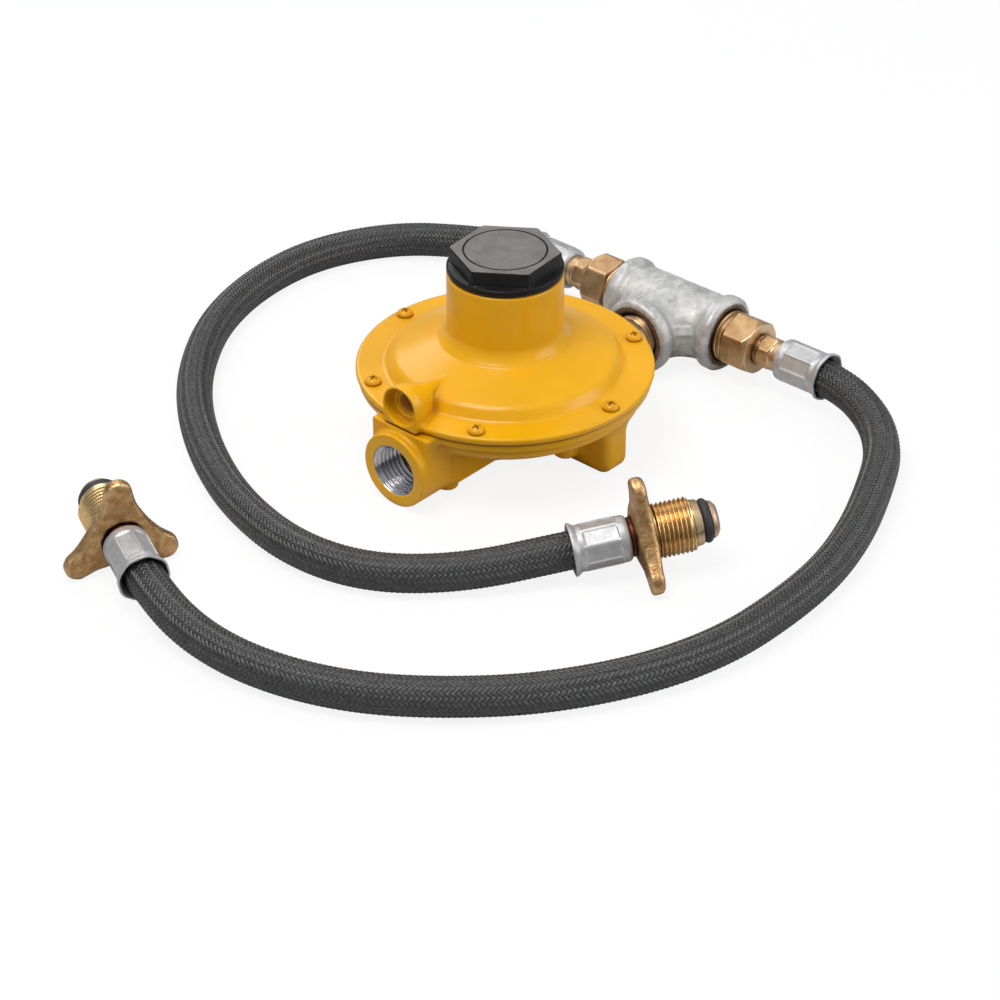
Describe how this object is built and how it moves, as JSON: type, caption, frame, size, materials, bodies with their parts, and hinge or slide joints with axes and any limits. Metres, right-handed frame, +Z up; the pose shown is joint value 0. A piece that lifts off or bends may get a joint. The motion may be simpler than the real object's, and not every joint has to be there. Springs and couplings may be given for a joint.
{
  "type": "propane regulator hose",
  "caption": "Low-pressure gas regulator with a capped spring tower, threaded outlet and inlet tee feeding two braided pigtail hoses with hand-wheel bottle connectors.",
  "frame": {"origin": "on the floor below the middle of the regulator and its tee, halfway between the outlet's face and the tee's outer bead, on the regulator's axis in Y", "axes": "+Z up from the floor, +X from the regulator's outlet to its inlet tee, the tee's run along Y"},
  "size_m": [0.3263, 0.3504, 0.0909],
  "materials": {
    "casting": "gloss",
    "screw_paint": "gloss",
    "cap_plastic": "satin",
    "grey_plastic": "matte",
    "galvanised_iron": "satin",
    "brass": "satin",
    "forged_brass": "rough",
    "plated_steel": "satin",
    "steel": "satin",
    "spring_steel": "satin",
    "rubber": "matte",
    "diaphragm_rubber": "matte",
    "black_braid": "matte"
  },
  "bodies": {
    "regulator": {"lower_casing": "casting", "bonnet": "casting", "vent_screen": "steel", "diaphragm": "diaphragm_rubber", "main_spring": "spring_steel", "inlet_orifice": "brass", "inlet_filter": "steel", "valve_bracket": "steel", "lever_pin": "steel", "inlet_nipple": "brass", "tee": "galvanised_iron", "flange_screw_1": "screw_paint", "flange_screw_2": "screw_paint", "flange_screw_3": "screw_paint", "flange_screw_4": "screw_paint", "flange_screw_5": "screw_paint", "flange_screw_6": "screw_paint", "reducing_bush_a": "brass", "hose_tail_a": "brass", "tee_ferrule_a": "plated_steel", "bottle_ferrule_a": "plated_steel", "nose_piece_a": "brass", "nose_ring_a": "rubber", "hose_a": "black_braid", "reducing_bush_b": "brass", "hose_tail_b": "brass", "tee_ferrule_b": "plated_steel", "bottle_ferrule_b": "plated_steel", "nose_piece_b": "brass", "nose_ring_b": "rubber", "hose_b": "black_braid"},
    "diaphragm_stack": {"diaphragm_plate": "steel", "pusher_post": "brass", "relief_nut": "steel", "relief_spring": "spring_steel"},
    "adjuster_seat": {"spring_seat": "steel"},
    "adjuster": {"adjusting_screw": "grey_plastic"},
    "cap_ring": {"cap_seal": "rubber"},
    "cap": {"closing_cap": "cap_plastic"},
    "valve": {"disc_holder": "brass", "valve_disc": "rubber"},
    "lever": {"lever": "steel"},
    "wheel_a": {"handwheel_a": "forged_brass"},
    "wheel_b": {"handwheel_b": "forged_brass"}
  },
  "joints": [
    {"name": "diaphragm_lift", "type": "slide", "parent": "regulator", "child": "diaphragm_stack", "axis": [0, 0, 1], "range_m": [0, 0.003], "stiffness_N_per_m": 400, "springref_m": -0.01, "deforming": ["main_spring", "diaphragm"]},
    {"name": "lever_pivot", "type": "hinge", "parent": "regulator", "child": "lever", "pos_m": [-0.01435, -0.0056, 0.0099], "axis": [0, 1, 0], "range_deg": [0, 12.6]},
    {"name": "valve_travel", "type": "slide", "parent": "regulator", "child": "valve", "axis": [1, 0, 0], "range_m": [0, 0.0016]},
    {"name": "adjuster_travel", "type": "slide", "parent": "regulator", "child": "adjuster_seat", "axis": [0, 0, 1], "range_m": [-0.004, 0.002]},
    {"name": "adjuster_turn", "type": "hinge", "parent": "adjuster_seat", "child": "adjuster", "pos_m": [-0.02835, 0, 0.064], "axis": [0, 0, 1], "range_deg": [-962, 482]},
    {"name": "cap_travel", "type": "slide", "parent": "regulator", "child": "cap_ring", "axis": [0, 0, 1], "range_m": [0, 0.01]},
    {"name": "cap_turn", "type": "hinge", "parent": "cap_ring", "child": "cap", "pos_m": [-0.02835, 0, 0.085], "axis": [0, 0, 1], "range_deg": [0, 1802]},
    {"name": "wheel_a_spin", "type": "hinge", "parent": "regulator", "child": "wheel_a", "pos_m": [-0.06152, -0.10749, 0.01688], "axis": [0.7833, -0.6063, 0.1369], "continuous": true},
    {"name": "wheel_b_spin", "type": "hinge", "parent": "regulator", "child": "wheel_b", "pos_m": [-0.20035, 0.05263, 0.01662], "axis": [0.4016, 0.9118, 0.0852], "continuous": true}
  ],
  "couplings": [
    {"joint": "lever_pivot", "follows": "diaphragm_lift", "rad_per_m": 71.429},
    {"joint": "valve_travel", "follows": "diaphragm_lift", "ratio": 0.50714},
    {"joint": "adjuster_turn", "follows": "adjuster_travel", "rad_per_m": 4188.8},
    {"joint": "cap_turn", "follows": "cap_travel", "rad_per_m": 3141.6}
  ]
}
